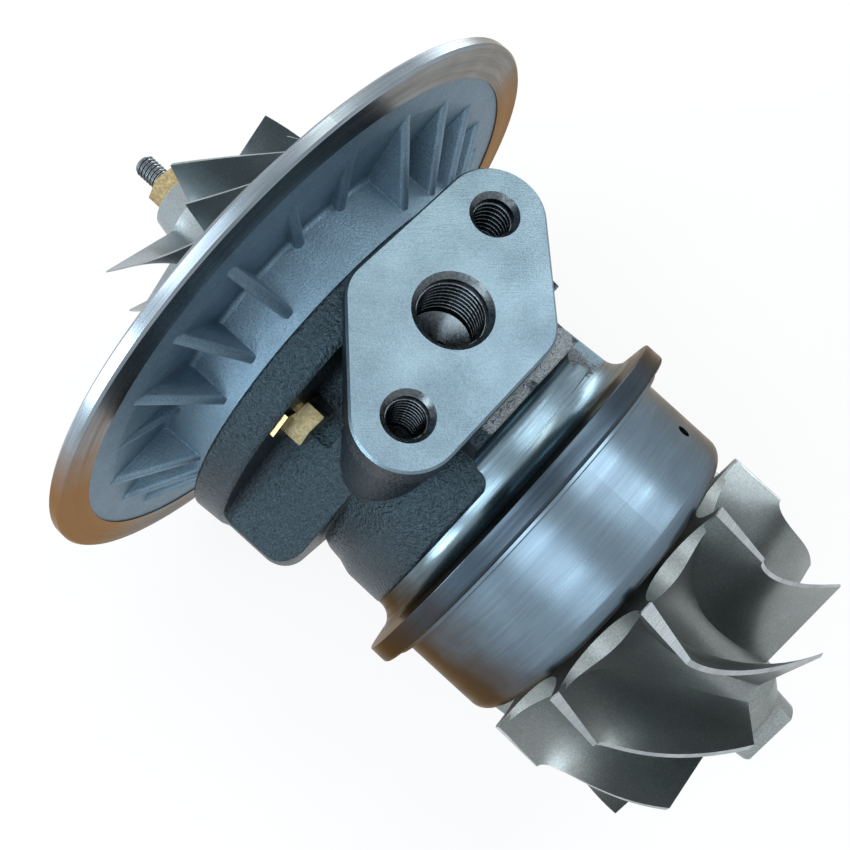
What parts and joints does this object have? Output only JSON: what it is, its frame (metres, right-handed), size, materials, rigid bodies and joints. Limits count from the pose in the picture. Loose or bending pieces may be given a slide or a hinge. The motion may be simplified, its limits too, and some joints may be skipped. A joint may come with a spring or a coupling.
{
  "type": "turbocharger cartridge",
  "caption": "Turbocharger centre section: iron bearing housing with oil pad, ribbed aluminium backplate, heat shield, and a rotor with turbine and compressor wheels.",
  "frame": {"origin": "on the rotor axis, in the middle of the turbine V-band clamp's land", "axes": "+X along the rotor axis from compressor to turbine, +Z towards the oil inlet pad"},
  "size_m": [0.2091, 0.156, 0.156],
  "materials": {
    "black_cast_iron": "satin",
    "plug_steel": "satin",
    "cast_aluminium": "satin",
    "yellow_zinc": "gloss",
    "ground_steel": "satin",
    "black_rubber": "matte",
    "plate_iron": "satin",
    "spring_steel": "satin",
    "bearing_bronze": "satin",
    "sheet_steel": "satin",
    "ring_iron": "satin",
    "turned_steel": "satin",
    "nickel_alloy": "satin",
    "wheel_aluminium": "satin",
    "nut_steel": "gloss"
  },
  "bodies": {
    "housing": {"bearing_housing": "black_cast_iron", "gallery_plug": "plug_steel", "compressor_backplate": "cast_aluminium", "backplate_bolts": "yellow_zinc", "lock_washers": "yellow_zinc", "backplate_dowel": "ground_steel", "cover_o_ring": "black_rubber", "backplate_o_ring": "black_rubber", "oil_seal_plate": "plate_iron", "seal_plate_o_ring": "black_rubber", "seal_plate_retaining_ring": "spring_steel", "thrust_bearing": "bearing_bronze", "thrust_bearing_pins": "ground_steel", "oil_deflector": "sheet_steel", "bearing_snap_rings": "spring_steel", "compressor_seal_ring": "ring_iron", "turbine_seal_ring": "ring_iron", "heat_shield": "turned_steel"},
    "rotor": {"shaft": "ground_steel", "turbine_wheel": "nickel_alloy", "compressor_wheel": "wheel_aluminium", "thrust_collar": "ground_steel", "flinger_sleeve": "ground_steel", "shaft_nut": "nut_steel"},
    "compressor_bearing": {"compressor_journal_bearing": "bearing_bronze"},
    "turbine_bearing": {"turbine_journal_bearing": "bearing_bronze"}
  },
  "joints": [
    {"name": "rotor_spin", "type": "hinge", "parent": "housing", "child": "rotor", "pos_m": [0, 0, 0], "axis": [1, 0, 0], "continuous": true},
    {"name": "compressor_bearing_spin", "type": "hinge", "parent": "housing", "child": "compressor_bearing", "pos_m": [-0.0323, 0, 0], "axis": [1, 0, 0], "continuous": true},
    {"name": "turbine_bearing_spin", "type": "hinge", "parent": "housing", "child": "turbine_bearing", "pos_m": [0.0002, 0, 0], "axis": [1, 0, 0], "continuous": true}
  ]
}
